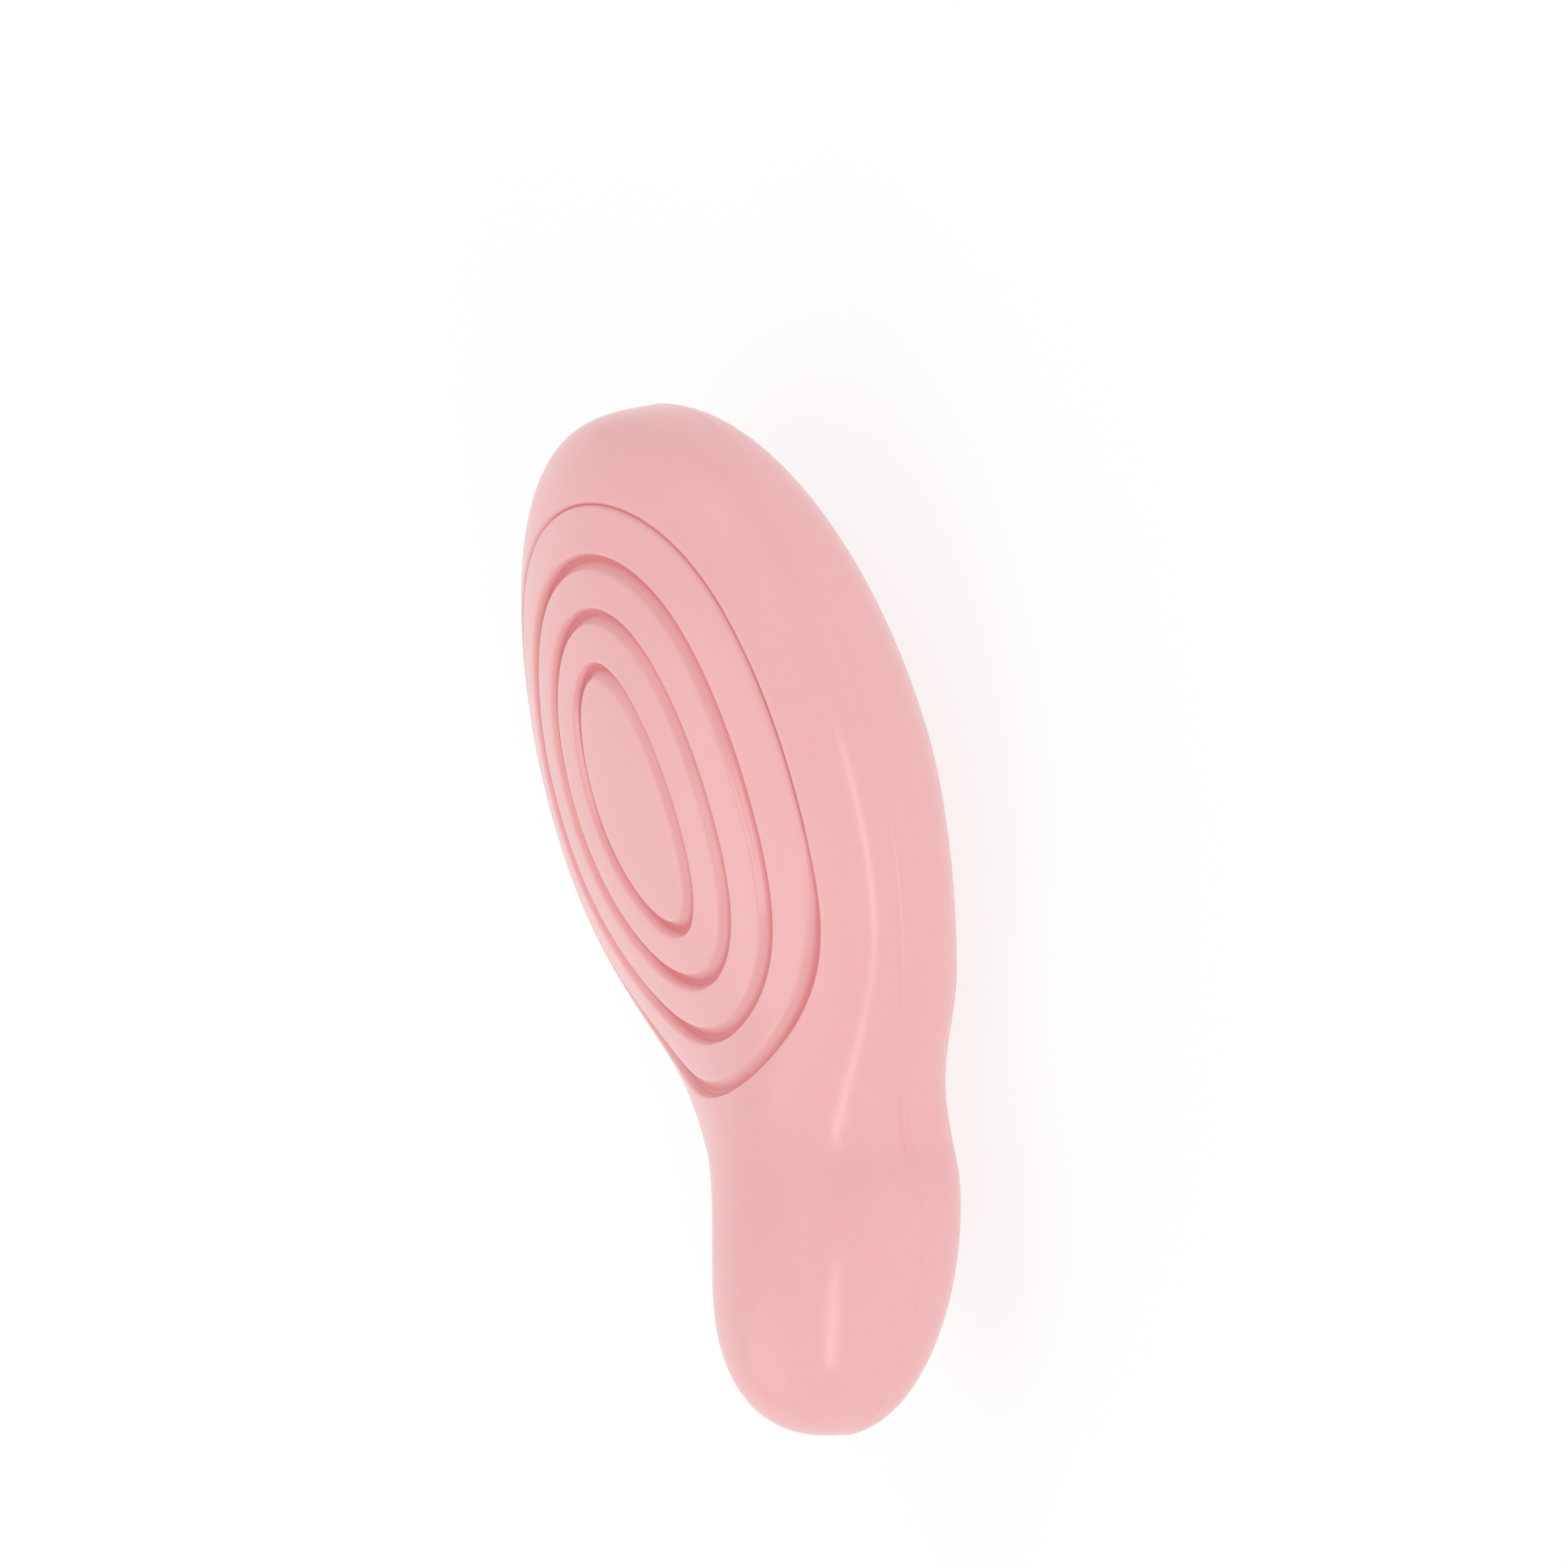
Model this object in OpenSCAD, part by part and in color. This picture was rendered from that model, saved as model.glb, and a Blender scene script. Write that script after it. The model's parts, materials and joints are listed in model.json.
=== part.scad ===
// A moulded bar of soap with a broad oval head and a rounded grip end.
// It lies on its back: the ringed face looks up (+Z) and the head points along +X.
// The surface is laid out as closed loops: from the middle of the face outwards over
// four oval grooves to the mould seam round the edge, and on to the middle of the back.

/* [Outline from above] */
// Length from the grip end to the tip of the head
length = 120; // [112:1:128]
// Width of the head at its widest place
head_w = 66.8; // [64:0.2:72]
// Width of the waist between head and grip
waist_w = 29.2; // [27:0.2:30]
// Width of the grip lobe
grip_w = 31; // [30.2:0.2:34]
// From the tip of the head back to its widest place
head_reach = 43.7; // [41:0.1:46]
// From the grip end to the widest place of the grip
grip_reach = 23.8; // [22:0.1:25]
// From the widest place of the grip to the waist
waist_gap = 5.4; // [5:0.1:8]
// Radius of the hollow at the waist
waist_r = 9; // [8:0.5:16]
// Fullness of the head's round end (2 is an ellipse)
head_exponent = 2.1; // [2:0.05:2.5]
// Fullness of the grip's round end (2 is an ellipse)
grip_exponent = 2; // [2:0.05:2.5]

/* [Face line from the side] */
// Height of the face over the head
face_head_h = 32.2; // [30:0.1:35]
// From the tip of the head back to the crown of the face
face_head_reach = 29.6; // [24:0.1:34]
// Height of the face in its hollow
face_hollow_h = 25.4; // [24:0.1:27]
// From the grip end to the lowest place of that hollow
face_hollow_x = 47.1; // [44:0.1:50]
// Radius of that hollow along the bar
face_hollow_r = 17.7; // [15:0.1:40]
// Height of the face over the grip
face_grip_h = 32.1; // [30:0.1:34]
// From the grip end to the crown of the grip
face_grip_reach = 13; // [11:0.1:16]
// Fullness of the face line at the tip of the head
face_tip_exponent = 3.7; // [2:0.1:4.5]
// Fullness of the face line at the grip end
face_grip_exponent = 2.4; // [2:0.1:3]

/* [Back line from the side] */
// From the grip end to where the back starts to touch the table
rest_from = 50; // [46:1:54]
// From the grip end to where the back leaves the table
rest_to = 69; // [67:1:74]
// Depth of the finger hollow in the back
back_hollow_d = 1.6; // [0:0.1:2.4]
// From the grip end to the middle of that hollow
back_hollow_x = 37.3; // [34:0.1:40]
// Length of that hollow
back_hollow_len = 24; // [16:1:30]
// Fullness of the back line under the head
back_head_exponent = 1.6; // [1.5:0.05:2.2]
// Fullness of the back line under the grip
back_grip_exponent = 1.9; // [1.6:0.05:2.2]

/* [Mould seam] */
// Height of the seam at the grip end
seam_end_h = 19.4; // [16:0.1:22]
// Height of the seam at the grip's widest place
seam_grip_h = 13.3; // [12:0.1:15]
// Height of the seam at the waist
seam_waist_h = 13.2; // [12:0.1:15]
// Height of the seam at the head's widest place
seam_head_h = 17.3; // [15:0.1:19]
// Height of the seam at the tip of the head
seam_tip_h = 19.9; // [17:0.1:22]
// How far the seam stands proud
seam_proud = 0.15; // [0.05:0.05:0.4]
// How far it still stands proud at the two ends of the bar
seam_end_proud = 0.05; // [0:0.05:0.3]
// Width of the seam
seam_w = 0.6; // [0.4:0.1:1]

/* [Cross-section] */
// Fullness of the face side of a section across the head (2 is an ellipse)
face_exponent_head = 2.1; // [2:0.05:2.5]
// Fullness of the face side of a section across the grip
face_exponent_grip = 2.3; // [2:0.05:2.6]
// Fullness of the back side of a section
back_exponent = 2.3; // [2:0.05:2.8]

/* [Rings in the face] */
// Number of oval grooves
ring_count = 4; // [2:1:4]
// From the tip of the head back to the middle of the ovals
ring_reach = 44.8; // [43.5:0.1:46]
// Length of the innermost oval, at the middle of its groove
ring_len = 30.7; // [29:0.1:33]
// Width of the innermost oval
ring_w = 16.6; // [15:0.1:18]
// Distance from one groove to the next
ring_gap = 6.2; // [5.2:0.05:6.3]
// Width of a groove
groove_w = 1.8; // [1.4:0.1:2.2]
// Depth of a groove, at the foot of its steep outer wall
groove_d = 1.4; // [0.5:0.05:1.6]
// How far the inner wall of a groove leans back
wall_lean = 0.65; // [0.2:0.05:0.9]
// Radius that softens the inner lip of a groove
inner_lip_r = 0.35; // [0.1:0.05:0.7]
// Radius of the outer lip of a groove
outer_lip_r = 0.3; // [0.05:0.05:0.5]
// Width of the crease that the outermost groove narrows to, on the side of the tip
crease_w = 0.7; // [0.5:0.1:1.4]
// Depth of that crease
crease_d = 0.6; // [0.2:0.05:0.8]
// How far that crease lies outside its oval
crease_shift = 0.3; // [0:0.05:0.5]
// How far the outermost groove lies inside its oval where it is a full groove
last_groove_shift = 0.2; // [0:0.05:0.4]
// Place round the oval, in degrees from the tip, where the crease starts to widen
crease_end_angle = 118; // [90:1:130]
// Place where it has become a full groove
groove_start_angle = 150; // [135:1:170]

/* [Fineness] */
// Steps round the end of the head, on each side
tip_steps = 14; // [10:1:16]
// Steps along each flank of the head
flank_steps = 18; // [14:1:20]
// Steps from the waist to the widest place of the grip
waist_steps = 4; // [3:1:5]
// Steps round the grip end, on each side
grip_steps = 14; // [10:1:16]
// Loops from the outermost groove to the seam, and from the seam under the back
shell_loops = 10; // [8:1:11]

/* [Hidden] */
soap_pink = "#EFB2B2";
// Places along the bar, measured from the grip end
head_x = length - head_reach;
grip_x = grip_reach;
waist_x = grip_x + waist_gap;
face_head_x = length - face_head_reach;
ring_x = length - ring_reach;
// The medial lines on which the loops close, in the face and in the back
face_spine = (ring_len - ring_w) / 2;
back_spine_from = grip_reach / 2;
back_spine_to = length - head_reach / 2;
// Depth at the lips and at the foot of the inner wall, as shares of the depth of a groove
lip_share = 0.09;
foot_share = 0.74;
// Where the land goes on beyond a groove, and the shoulder beyond the last one, in radii
// of the outer lip
land_from = 2.5;
shoulder_from = 4;
// Steps from the medial line of the face to the innermost groove
disc_steps = 3;
// Loops crowd towards the seam, where the surface turns down
crowding = 2.2;

// Curves
function mix(a, b, f) = a + (b - a) * f;
function clip(u) = min(1, max(0, u));
function smooth(u) = let (c = clip(u)) c * c * (3 - 2 * c);
// A quarter of a superellipse, from 1 at u = 0 down to 0 at u = 1
function round_end(u, exponent) = pow(max(0, 1 - pow(clip(u), exponent)), 1 / exponent);
// A curve from a to b over the length h, level at both ends, with the given bends there
function sweep_curve(u, a, b, bend_a, bend_b, h) =
    mix(a, b, pow(u, 3) * (10 - 15 * u + 6 * u * u))
    + h * h / 2 * (bend_a * u * u * pow(1 - u, 3) + bend_b * pow(u, 3) * pow(1 - u, 2));
// A line with two crowns and a hollow between them, which ends in two round ends
function lobed(x, x1, x2, x3, end1, v1, v2, v3, end3, hollow_r, exponent1, exponent3) =
    x < x1 ? end1 + (v1 - end1) * round_end((x1 - x) / x1, exponent1)
    : x < x2 ? sweep_curve((x - x1) / (x2 - x1), v1, v2, (end1 - v1) / (x1 * x1), 1 / hollow_r, x2 - x1)
    : x < x3 ? sweep_curve((x - x2) / (x3 - x2), v2, v3, 1 / hollow_r,
        (end3 - v3) / pow(length - x3, 2), x3 - x2)
    : end3 + (v3 - end3) * round_end((x - x3) / (length - x3), exponent3);

// Half width of the bar at x
function half_w(x) = lobed(x, grip_x, waist_x, head_x, 0, grip_w / 2, waist_w / 2, head_w / 2, 0,
    waist_r, grip_exponent, head_exponent);
// Height of the face along the middle
function face_z(x) = lobed(x, face_grip_reach, face_hollow_x, face_head_x, seam_end_h, face_grip_h,
    face_hollow_h, face_head_h, seam_tip_h, face_hollow_r, face_grip_exponent, face_tip_exponent);
// Height of the back along the middle: it touches the table between rest_from and rest_to
function back_hollow_z(x) =
    let (u = min(1, abs(x - back_hollow_x) * 2 / back_hollow_len)) back_hollow_d * pow(1 - u * u, 3);
function back_z(x) = back_hollow_z(x) + (
    x < rest_from ? seam_end_h * (1 - round_end((rest_from - x) / rest_from, back_grip_exponent))
    : x < rest_to ? 0
    : seam_tip_h * (1 - round_end((x - rest_to) / (length - rest_to), back_head_exponent)));

// Height of the seam: a smooth line through its five stations
seam_x = [0, grip_x, waist_x, head_x, length];
seam_h = [seam_end_h, seam_grip_h, seam_waist_h, seam_head_h, seam_tip_h];
function seam_step(i) = seam_x[i + 1] - seam_x[i];
function seam_rise(i) = (seam_h[i + 1] - seam_h[i]) / seam_step(i);
function inner_slope(i) = (seam_rise(i - 1) * seam_step(i) + seam_rise(i) * seam_step(i - 1))
    / (seam_step(i - 1) + seam_step(i));
function seam_slope(i) = i == 0 ? 1.5 * seam_rise(0) - 0.5 * inner_slope(1)
    : i == 4 ? 1.5 * seam_rise(3) - 0.5 * inner_slope(3) : inner_slope(i);
function seam_piece(x) = x < seam_x[1] ? 0 : x < seam_x[2] ? 1 : x < seam_x[3] ? 2 : 3;
function seam_z(x) = let (
    i = seam_piece(x),
    h = seam_step(i),
    u = (x - seam_x[i]) / h,
    v = 1 - u)
    (1 + 2 * u) * v * v * seam_h[i] + u * v * v * h * seam_slope(i)
    + u * u * (3 - 2 * u) * seam_h[i + 1] - u * u * v * h * seam_slope(i + 1);

// Height of the surface above or below the point [x, y]
function share_of_width(p) = clip(abs(p[1]) / max(half_w(p[0]), 0.001));
function face_exponent(x) =
    mix(face_exponent_grip, face_exponent_head, smooth((x - waist_x) / (head_x - waist_x)));
function on_face(p) =
    mix(seam_z(p[0]), face_z(p[0]), round_end(share_of_width(p), face_exponent(p[0])));
function on_back(p) =
    mix(seam_z(p[0]), back_z(p[0]), round_end(share_of_width(p), back_exponent));

// The outline, from the tip along +Y to the grip end and back along -Y
side_x = concat(
    [for (i = [0:tip_steps - 1]) head_x + head_reach * cos(90 * i / tip_steps)],
    [for (i = [0:flank_steps - 1]) mix(head_x, waist_x, i / flank_steps)],
    [for (i = [0:waist_steps - 1]) mix(waist_x, grip_x, i / waist_steps)],
    [for (i = [0:grip_steps]) grip_x * (1 - sin(90 * i / grip_steps))]);
side_count = len(side_x) - 1;
loop_count = 2 * side_count;
loop_is = [0:loop_count - 1];
function side_i(i) = i <= side_count ? i : loop_count - i;
function side_of(i) = i % side_count == 0 ? 0 : i < side_count ? 1 : -1;
outline = [for (i = loop_is) let (x = side_x[side_i(i)]) [x, side_of(i) * half_w(x)]];
function outline_at(i) = outline[(i + loop_count) % loop_count];
function outward(i) = let (d = outline_at(i - 1) - outline_at(i + 1)) [-d[1], d[0]] / norm(d);

// The innermost oval: its point at the angle t, and the direction straight out of it there
function oval_point(t) = [ring_x + ring_len / 2 * cos(t), ring_w / 2 * sin(t)];
function oval_out(t) = let (n = [ring_w * cos(t), ring_len * sin(t)]) n / norm(n);
// The angle, between from and to, whose line straight out of the oval meets the point p
function foot(p, from, to, tries) = let (
    t = (from + to) / 2,
    r = p - oval_point(t),
    ahead = r[1] * ring_w * cos(t) - r[0] * ring_len * sin(t))
    tries == 0 ? t : ahead > 0 ? foot(p, t, to, tries - 1) : foot(p, from, t, tries - 1);
angle = [for (i = loop_is) side_i(i) == 0 ? 0 : side_i(i) == side_count ? 180
    : side_of(i) * foot([outline[i][0], abs(outline[i][1])], 0, 180, 20)];
// An oval at the distance d outside the innermost one
function oval(i, d) = oval_point(angle[i]) + d * oval_out(angle[i]);
function on_face_spine(i) = [ring_x + face_spine * (1 - 2 * side_i(i) / side_count), 0];
function on_back_spine(i) =
    [mix(back_spine_from, back_spine_to, side_x[side_i(i)] / length), 0];

// A groove seen across, from its inner to its outer side: where each loop lies, and how deep.
// The inner wall leans, the floor falls towards the outer wall, and the outer wall is steep.
function groove_section(w, d, lean, inner_r, outer_r) = [
    [-w / 2 - inner_r, 0],
    [-w / 2, d * lip_share],
    [-w / 2 + lean, d * foot_share],
    [w / 2 - outer_r, d],
    [w / 2, d * lip_share],
    [w / 2 + outer_r, 0],
    [w / 2 + land_from * outer_r, 0]];
function shifted(points, by) = [for (p = points) [p[0] + by, p[1]]];
groove = groove_section(groove_w, groove_d, wall_lean, inner_lip_r, outer_lip_r);
last_groove = shifted(groove, -last_groove_shift);
crease = shifted(
    groove_section(crease_w, crease_d, crease_w / 2, inner_lip_r, outer_lip_r), crease_shift);
// The outermost groove is a crease on the side of the tip and opens towards the waist
function opening(i) =
    smooth((abs(angle[i]) - crease_end_angle) / (groove_start_angle - crease_end_angle));
function section(k, i) = k < ring_count - 1 ? groove : mix(crease, last_groove, opening(i));
outer_lip =
    (ring_count - 1) * ring_gap + groove_w / 2 - last_groove_shift + shoulder_from * outer_lip_r;
inner_lip = -groove_w / 2 - inner_lip_r;

// The way straight out of the face, from its slopes over a short step
slope_step = 0.1;
function face_slope(p, along) =
    (on_face(p + slope_step * along) - on_face(p - slope_step * along)) / (2 * slope_step);
function face_out(p) = let (n = [-face_slope(p, [1, 0]), -face_slope(p, [0, 1]), 1]) n / norm(n);

// Loops, each a list of points; the grooves are sunk straight into the face
function face_point(p, sink = 0) =
    [p[0], p[1], on_face(p)] - (sink == 0 ? [0, 0, 0] : sink * face_out(p));
function back_point(p) = [p[0], p[1], on_back(p)];
disc_loops = [for (j = [1:disc_steps - 1])
    [for (i = loop_is) face_point(mix(on_face_spine(i), oval(i, inner_lip), j / disc_steps))]];
function groove_loops(k) = [for (g = [0:len(groove) - 1])
    [for (i = loop_is) let (s = section(k, i)[g]) face_point(oval(i, k * ring_gap + s[0]), s[1])]];
function land_loop(k) = [for (i = loop_is) face_point(oval(i, (k + 0.5) * ring_gap))];
ring_loops = [for (k = [0:ring_count - 1])
    each concat(groove_loops(k), k < ring_count - 1 ? [land_loop(k)] : [])];
shoulder_loops = [for (j = [1:shell_loops - 1])
    [for (i = loop_is)
        face_point(mix(oval(i, outer_lip), outline[i], 1 - pow(1 - j / shell_loops, crowding)))]];
function seam_out(x) = mix(seam_proud, seam_end_proud,
    max(smooth(2 * (x - head_x) / head_reach), smooth(2 * (grip_x / 2 - x) / grip_x)));
function seam_loop(share, up) = [for (i = loop_is) let (
    x = outline[i][0],
    p = outline[i] + share * seam_out(x) * outward(i))
    [p[0], p[1], seam_z(x) + up]];
seam_loops = [seam_loop(0, seam_w / 2), seam_loop(1, 0), seam_loop(0, -seam_w / 2)];
under_loops = [for (j = [1:shell_loops - 1])
    [for (i = loop_is)
        back_point(mix(outline[i], on_back_spine(i), pow(j / shell_loops, crowding)))]];
loops = concat(disc_loops, ring_loops, shoulder_loops, seam_loops, under_loops);

// All points: the loops, then the two medial lines
spine_is = [0:side_count];
points = concat([for (l = loops) each l],
    [for (i = spine_is) face_point(on_face_spine(i))],
    [for (i = spine_is) back_point(on_back_spine(i))]);
face_spine_at = len(loops) * loop_count;
back_spine_at = face_spine_at + side_count + 1;
last_loop_at = face_spine_at - loop_count;

function strip(a, b) = [for (i = loop_is) let (n = (i + 1) % loop_count) each
    [[a + i, b + n, b + i], [a + i, a + n, b + n]]];
// Between a loop and a medial line, which both sides of the loop share
function closing(a, s, turn) = [for (i = loop_is) let (
    n = (i + 1) % loop_count,
    p = s + side_i(i),
    q = s + side_i(n))
    each turn ? [[a + i, a + n, q], [a + i, q, p]] : [[a + n, a + i, q], [q, a + i, p]]];
faces = concat(
    closing(0, face_spine_at, false),
    [for (l = [0:len(loops) - 2]) each strip(l * loop_count, (l + 1) * loop_count)],
    closing(last_loop_at, back_spine_at, true));

module soap_bar() {
    color(soap_pink)
    translate([-length / 2, 0, 0])
    polyhedron(points = points, faces = faces, convexity = 6);
}

soap_bar();
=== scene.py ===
"""The look of a moulded bar of soap: its smooth body, its soap, and a white studio table round it."""

import json
import math

import bpy
from mathutils import Matrix, Vector

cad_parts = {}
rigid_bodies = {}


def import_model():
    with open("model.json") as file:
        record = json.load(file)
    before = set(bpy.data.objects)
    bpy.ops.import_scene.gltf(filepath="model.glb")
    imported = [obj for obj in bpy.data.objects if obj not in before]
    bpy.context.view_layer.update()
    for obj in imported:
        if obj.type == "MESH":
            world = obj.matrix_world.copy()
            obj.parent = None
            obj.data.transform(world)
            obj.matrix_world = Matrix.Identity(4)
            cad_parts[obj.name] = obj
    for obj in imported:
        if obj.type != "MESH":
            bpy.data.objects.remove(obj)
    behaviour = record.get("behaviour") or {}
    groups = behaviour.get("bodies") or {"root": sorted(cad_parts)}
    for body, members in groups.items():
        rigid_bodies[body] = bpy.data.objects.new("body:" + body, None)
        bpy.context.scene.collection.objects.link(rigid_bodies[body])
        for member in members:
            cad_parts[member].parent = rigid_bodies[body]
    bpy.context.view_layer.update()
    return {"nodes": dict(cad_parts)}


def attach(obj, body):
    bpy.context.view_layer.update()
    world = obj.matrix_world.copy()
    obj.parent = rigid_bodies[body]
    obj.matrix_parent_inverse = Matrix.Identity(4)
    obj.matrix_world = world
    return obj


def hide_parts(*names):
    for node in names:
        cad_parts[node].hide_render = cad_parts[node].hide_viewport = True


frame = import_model()

MM = 0.001

# The photograph: its size, and where the middle of the bar's underside lies in it
PHOTO_PX = 1932
ORIGIN_PX = (1097, 1109)
PX_PER_MM = 10.77
# The camera: it looks down on the lying bar from its side, with the head towards the top
CAMERA_AZIMUTH = -10.3
CAMERA_ELEVATION = 29.6
CAMERA_ROLL = -97.4
CAMERA_DISTANCE = 1.25
SENSOR = 36.0


def linear(colour):
    """A colour written as sRGB hex, as linear red, green, blue and alpha."""
    parts = [int(colour[i:i + 2], 16) / 255 for i in (1, 3, 5)]
    return [c / 12.92 if c <= 0.04045 else ((c + 0.055) / 1.055) ** 2.4 for c in parts] + [1.0]


def add_node(tree, kind, settings=None, **links):
    """Adds a node with its settings; links name an input, with _ for a space, and what feeds it."""
    node = tree.nodes.new(kind)
    for key, value in (settings or {}).items():
        if isinstance(key, str) and hasattr(node, key):
            setattr(node, key, value)
        else:
            node.inputs[key].default_value = value
    for name, source in links.items():
        tree.links.new(source, node.inputs[name.replace("_", " ")])
    return node


def select_only(obj):
    """Deselects everything else, because an operator acts on all that is selected."""
    bpy.ops.object.select_all(action="DESELECT")
    obj.select_set(True)
    bpy.context.view_layer.objects.active = obj


def direction(azimuth, elevation):
    """The direction from the bar towards something seen at that azimuth and elevation, in degrees."""
    a = math.radians(azimuth)
    e = math.radians(elevation)
    return Vector((math.cos(e) * math.sin(a), -math.cos(e) * math.cos(a), math.sin(e)))


# Body
MERGE = 0.02 * MM
SUBDIVISIONS = 2
# How far the faces on the two sides of the seam's ridge look up and down at the least
SEAM_SLOPE = 0.15
# The attribute that says how hollow the skin is, which sets where shade is painted into the soap's colour,
# and how often it is blurred from vertex to vertex
HOLLOWS = "hollows"
HOLLOW_BLURS = 6


def make_body(node):
    """The bar's skin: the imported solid, merged, turned to quads and subdivided until no facet shows."""
    select_only(node)
    bpy.ops.object.duplicate()
    body = bpy.context.object
    body.name = "soap_body"
    bpy.ops.object.parent_clear(type="CLEAR_KEEP_TRANSFORM")
    bpy.ops.object.transform_apply(location=True, rotation=True, scale=True)
    bpy.ops.object.mode_set(mode="EDIT")
    bpy.ops.mesh.select_all(action="SELECT")
    bpy.ops.mesh.customdata_custom_splitnormals_clear()
    bpy.ops.mesh.remove_doubles(threshold=MERGE)
    bpy.ops.mesh.tris_convert_to_quads(face_threshold=math.pi, shape_threshold=math.pi)
    bpy.ops.mesh.normals_make_consistent(inside=False)
    bpy.ops.object.mode_set(mode="OBJECT")
    crease_seam(body.data)
    smooth = body.modifiers.new("Smooth skin", "SUBSURF")
    smooth.levels = SUBDIVISIONS
    smooth.render_levels = SUBDIVISIONS
    bpy.ops.object.modifier_apply(modifier=smooth.name)
    bpy.ops.object.shade_smooth()
    mark_hollows()
    return body


def crease_seam(mesh):
    """Keeps the mould seam's ridge sharp: the edges between faces that look up and faces that look down."""
    crease = mesh.attributes.new("crease_edge", "FLOAT", "EDGE")
    slopes = {}
    for face in mesh.polygons:
        for key in face.edge_keys:
            slopes.setdefault(key, []).append(face.normal.z)
    for edge in mesh.edges:
        if max(slopes[edge.key]) > SEAM_SLOPE and min(slopes[edge.key]) < -SEAM_SLOPE:
            crease.data[edge.index].value = 1.0


def mark_hollows():
    """Writes how hollow the selected mesh is at each vertex: 1 in the open, less in a groove's foot."""
    bpy.ops.geometry.color_attribute_add(
        name=HOLLOWS, domain="POINT", data_type="FLOAT_COLOR", color=(1, 1, 1, 1))
    bpy.ops.object.mode_set(mode="VERTEX_PAINT")
    bpy.ops.paint.vertex_color_dirt(
        blur_strength=1.0, blur_iterations=HOLLOW_BLURS, clean_angle=math.pi, dirt_angle=0.0,
        dirt_only=True, normalize=False)
    bpy.ops.object.mode_set(mode="OBJECT")


# Soap
PINK = "#ECB4B4"
CLOUD_PINK = "#E9AEAF"
# Painted shade: the deeper pink laid into the feet of the grooves, in place of the shade and wall-to-wall
# light there
GROOVE_SHADE_PINK = "#E2878A"
CLOUD_SIZE = 20 * MM
# The values in the hollows attribute at which the painted groove shade begins, and at which it is full
SHADE_PAINTED_FROM = 0.96
SHADE_PAINTED_FULL_AT = 0.82
POLISH_SIZE = 0.4 * MM
POLISH_DEPTH = 0.02 * MM
POLISH_STRENGTH = 0.12
SMOOTHEST = 0.22
ROUGHEST = 0.28
LIGHT_SINKS_IN = 0.5 * MM


def toilet_soap():
    """Opaque toilet soap cast in a polished mould: a satin skin, with light that sinks in a little, and
    shade painted as a deeper pink into the grooves' feet.
    """
    material = bpy.data.materials.new("Cast toilet soap, satin")
    material.use_nodes = True
    tree = material.node_tree
    tree.nodes.clear()
    place = add_node(tree, "ShaderNodeTexCoord").outputs["Object"]
    # Clouds some 20 mm across, where the paste took up its colour a little unevenly
    clouds = add_node(tree, "ShaderNodeTexNoise", {"Scale": 1 / CLOUD_SIZE, "Detail": 3.0}, Vector=place)
    colour = add_node(tree, "ShaderNodeMix", {
        "data_type": "RGBA",
        6: linear(PINK),
        7: linear(CLOUD_PINK),
    })
    tree.links.new(clouds.outputs["Fac"], colour.inputs["Factor"])
    # Painted shade: the pink is deepened in the feet of the grooves, standing in for the shade there and
    # the light that goes from wall to wall
    hollows = add_node(tree, "ShaderNodeAttribute", {"attribute_name": HOLLOWS})
    painted_shade_amount = add_node(tree, "ShaderNodeMapRange", {
        "From Min": SHADE_PAINTED_FROM,
        "From Max": SHADE_PAINTED_FULL_AT,
        "To Min": 0.0,
        "To Max": 1.0,
    }, Value=hollows.outputs["Fac"])
    painted_groove_shade = add_node(tree, "ShaderNodeMix", {"data_type": "RGBA", 7: linear(GROOVE_SHADE_PINK)})
    tree.links.new(painted_shade_amount.outputs["Result"], painted_groove_shade.inputs["Factor"])
    tree.links.new(colour.outputs[2], painted_groove_shade.inputs[6])
    # The mould's polish, 0.4 mm across, which softens the gloss
    skin = add_node(tree, "ShaderNodeTexNoise", {"Scale": 1 / POLISH_SIZE, "Detail": 2.0}, Vector=place)
    bump = add_node(tree, "ShaderNodeBump", {"Strength": POLISH_STRENGTH, "Distance": POLISH_DEPTH})
    tree.links.new(skin.outputs["Fac"], bump.inputs["Height"])
    gloss = add_node(tree, "ShaderNodeMapRange", {"To Min": SMOOTHEST, "To Max": ROUGHEST})
    tree.links.new(clouds.outputs["Fac"], gloss.inputs["Value"])
    soap = add_node(tree, "ShaderNodeBsdfPrincipled", {
        "IOR": 1.45,
        "Subsurface Weight": 0.35,
        "Subsurface Radius": (1.0, 0.45, 0.4),
        "Subsurface Scale": LIGHT_SINKS_IN,
    })
    tree.links.new(painted_groove_shade.outputs[2], soap.inputs["Base Color"])
    tree.links.new(gloss.outputs["Result"], soap.inputs["Roughness"])
    tree.links.new(bump.outputs["Normal"], soap.inputs["Normal"])
    add_node(tree, "ShaderNodeOutputMaterial", Surface=soap.outputs["BSDF"])
    return material


# Table
TABLE_SIZE = 8.0
TABLE_GREY = "#828282"
TABLE_GLOW = 0.76


def make_table():
    """A white opal table under the bar, which runs to the horizon and glows evenly from below."""
    bpy.ops.object.select_all(action="DESELECT")
    bpy.ops.mesh.primitive_plane_add(size=TABLE_SIZE, location=(0, 0, 0))
    table = bpy.context.object
    table.name = "white_table"
    material = bpy.data.materials.new("Opal acrylic, lit from below")
    material.use_nodes = True
    sheet = material.node_tree.nodes["Principled BSDF"]
    sheet.inputs["Base Color"].default_value = linear(TABLE_GREY)
    sheet.inputs["Roughness"].default_value = 0.8
    sheet.inputs["Specular IOR Level"].default_value = 0.2
    sheet.inputs["Emission Color"].default_value = (1, 1, 1, 1)
    sheet.inputs["Emission Strength"].default_value = TABLE_GLOW
    table.data.materials.append(material)


# Light
ROOM_LIGHT = 0.73


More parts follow.
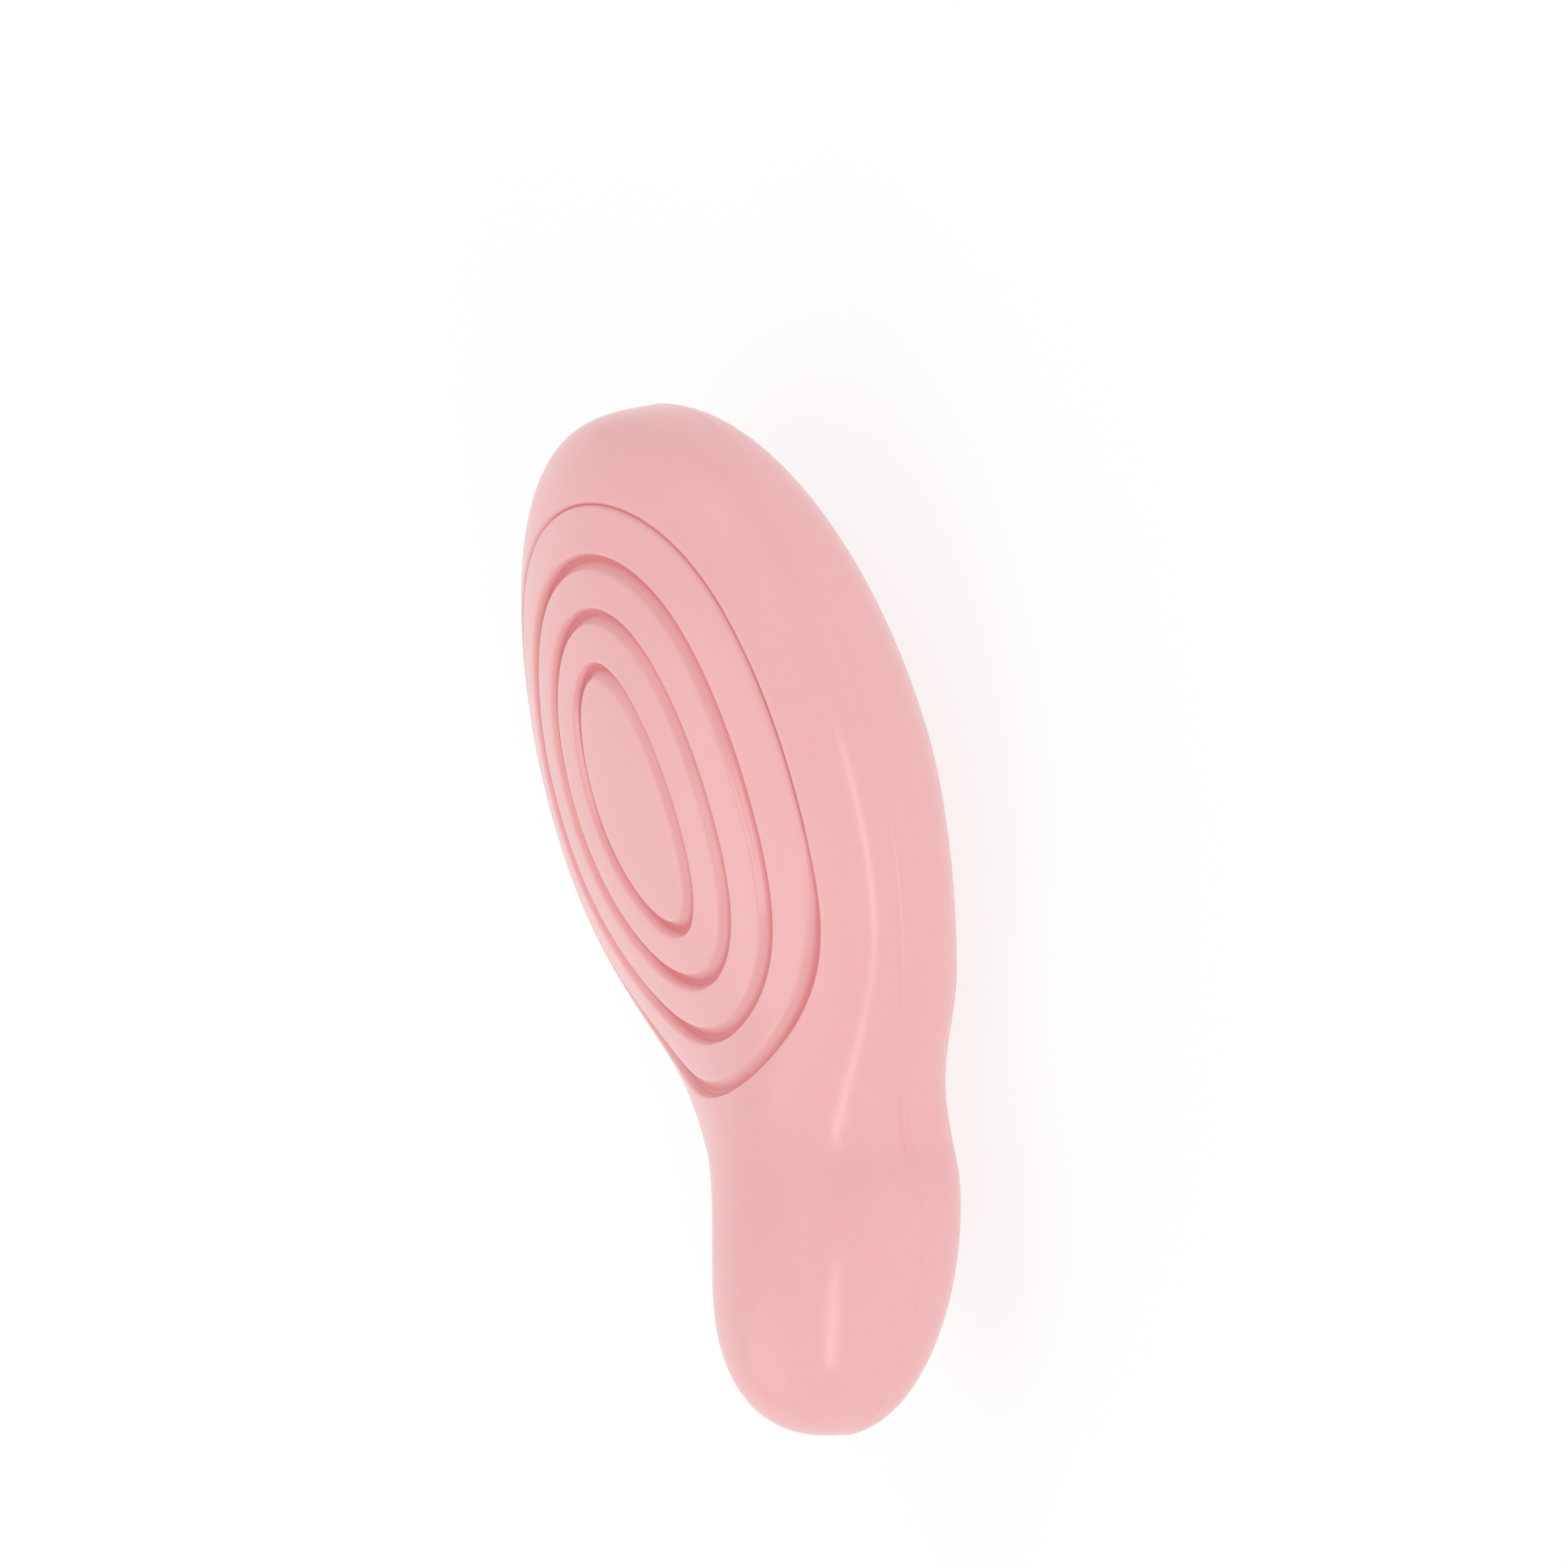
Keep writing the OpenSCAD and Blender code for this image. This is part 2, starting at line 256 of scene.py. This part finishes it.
def softbox(name, azimuth, elevation, distance, width, height, power, turn=0.0):
    """An oblong lamp that faces the bar, in metres, watts and degrees."""
    lamp = bpy.data.lights.new(name, "AREA")
    lamp.shape = "RECTANGLE"
    lamp.size = width
    lamp.size_y = height
    lamp.energy = power
    box = bpy.data.objects.new(name, lamp)
    bpy.context.collection.objects.link(box)
    towards = direction(azimuth, elevation)
    place = Matrix.Translation(towards * distance)
    facing = towards.to_track_quat("Z", "Y").to_matrix().to_4x4()
    turned = Matrix.Rotation(math.radians(turn), 4, "Z")
    box.matrix_world = place @ facing @ turned


def make_light():
    """An even white room, a key light high behind the bar, and lower lamps round it.

    The long strip in front gives the narrow streak of light along the bar's side.
    """
    world = bpy.data.worlds.new("White room")
    bpy.context.scene.world = world
    world.use_nodes = True
    room = world.node_tree.nodes["Background"]
    room.inputs["Color"].default_value = (1, 1, 1, 1)
    room.inputs["Strength"].default_value = ROOM_LIGHT
    softbox("key_softbox", azimuth=-145, elevation=65, distance=1.4, width=1.3, height=1.3, power=4.1)
    softbox(
        "front_strip", azimuth=-30, elevation=24, distance=1.5, width=1.5, height=0.1, power=5.2, turn=14)
    softbox("back_panel", azimuth=180, elevation=15, distance=1.4, width=3.2, height=0.7, power=2.6)
    softbox("tip_panel", azimuth=60, elevation=42, distance=1.4, width=1.0, height=1.0, power=1.6)


def make_camera():
    """The photograph's view, aimed at the point that lies in the middle of the picture."""
    back = direction(CAMERA_AZIMUTH, CAMERA_ELEVATION)
    level = Vector((0, 0, 1)).cross(back).normalized()
    upright = back.cross(level)
    roll = math.radians(CAMERA_ROLL)
    right = math.cos(roll) * level + math.sin(roll) * upright
    up = math.cos(roll) * upright - math.sin(roll) * level
    middle = PHOTO_PX / 2
    aim = (right * (middle - ORIGIN_PX[0]) + up * (ORIGIN_PX[1] - middle)) * MM / PX_PER_MM
    eye = back * CAMERA_DISTANCE
    back = (eye - aim).normalized()
    right = up.cross(back).normalized()
    up = back.cross(right)
    lens = bpy.data.cameras.new("Camera")
    lens.sensor_width = SENSOR
    lens.lens = PX_PER_MM / MM * CAMERA_DISTANCE / PHOTO_PX * SENSOR
    camera = bpy.data.objects.new("Camera", lens)
    bpy.context.collection.objects.link(camera)
    camera.matrix_world = Matrix.Translation(eye) @ Matrix((right, up, back)).transposed().to_4x4()
    bpy.context.scene.camera = camera


body = make_body(frame["nodes"]["soap_bar"])
body.data.materials.clear()
body.data.materials.append(toilet_soap())
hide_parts("soap_bar")
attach(body, "root")
make_table()
make_light()
make_camera()
bpy.context.scene.view_settings.view_transform = "Standard"
